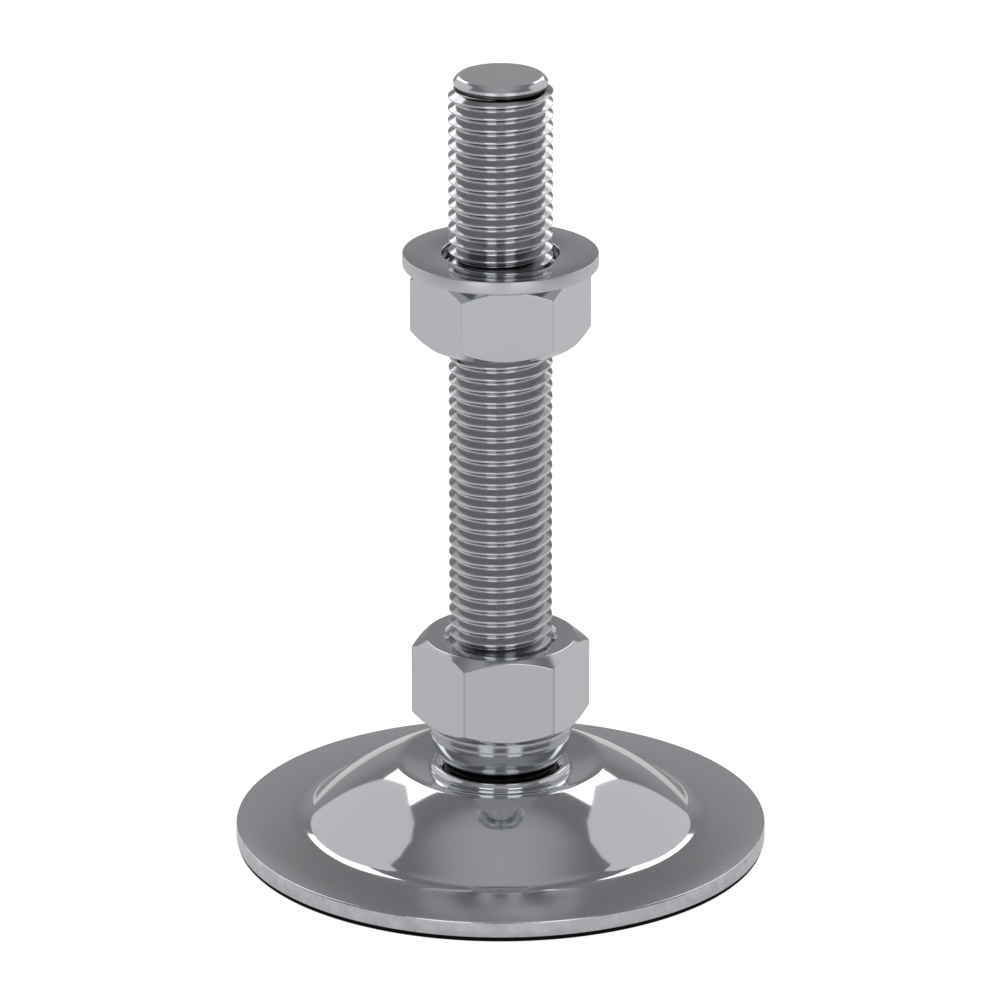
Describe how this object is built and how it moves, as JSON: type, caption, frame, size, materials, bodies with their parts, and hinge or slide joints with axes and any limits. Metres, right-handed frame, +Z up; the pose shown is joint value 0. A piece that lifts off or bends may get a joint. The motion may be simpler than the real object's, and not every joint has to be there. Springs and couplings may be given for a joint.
{
  "type": "machine levelling foot",
  "caption": "Levelling foot with a domed round base, a ball joint, a threaded stud, and a nut and washer that carry the machine.",
  "frame": {"origin": "middle of the pad's underside, on the floor", "axes": "+Z up along the stud, from the floor to the stud's end; X and Y lie in the floor, and the picture looks along +Y"},
  "size_m": [0.154, 0.154, 0.2316],
  "materials": {
    "bright_steel": "nickel plated, fine turning marks",
    "plated_sheet": "nickel plated pressed sheet, smooth",
    "dull_steel": "zinc plated, dull",
    "black_plastic": "smooth black bearing plastic",
    "pad_rubber": "matt black rubber"
  },
  "bodies": {
    "base": {"base_plate": "plated_sheet", "rubber_pad": "pad_rubber", "ball_socket": "bright_steel"},
    "lean_direction": {"ball_liner": "black_plastic"},
    "lean_cup": {"cup_washer": "dull_steel"},
    "swivel": {"swivel_hex": "bright_steel", "threaded_stud": "bright_steel", "holding_screw": "dull_steel", "disc_spring": "dull_steel"},
    "washer": {"flat_washer": "bright_steel"},
    "nut": {"height_nut": "bright_steel"}
  },
  "joints": [
    {"name": "lean_direction_turn", "type": "hinge", "parent": "base", "child": "lean_direction", "pos_m": [0, 0, 0.0373], "axis": [0, 0, 1], "continuous": true},
    {"name": "lean", "type": "hinge", "parent": "lean_direction", "child": "lean_cup", "pos_m": [0, 0, 0.0373], "axis": [1, 0, 0], "range_deg": [-10, 10]},
    {"name": "stud_turn", "type": "hinge", "parent": "lean_cup", "child": "swivel", "pos_m": [0, 0, 0.0373], "axis": [0, 0, 1], "continuous": true},
    {"name": "washer_height", "type": "slide", "parent": "swivel", "child": "washer", "axis": [0, 0, 1], "range_m": [-0.089, 0.049]},
    {"name": "nut_turn", "type": "hinge", "parent": "washer", "child": "nut", "pos_m": [0, 0, 0.1642], "axis": [0, 0, 1], "continuous": true}
  ],
  "couplings": [
    {"joint": "nut_turn", "follows": "washer_height", "rad_per_m": 1795.2}
  ]
}
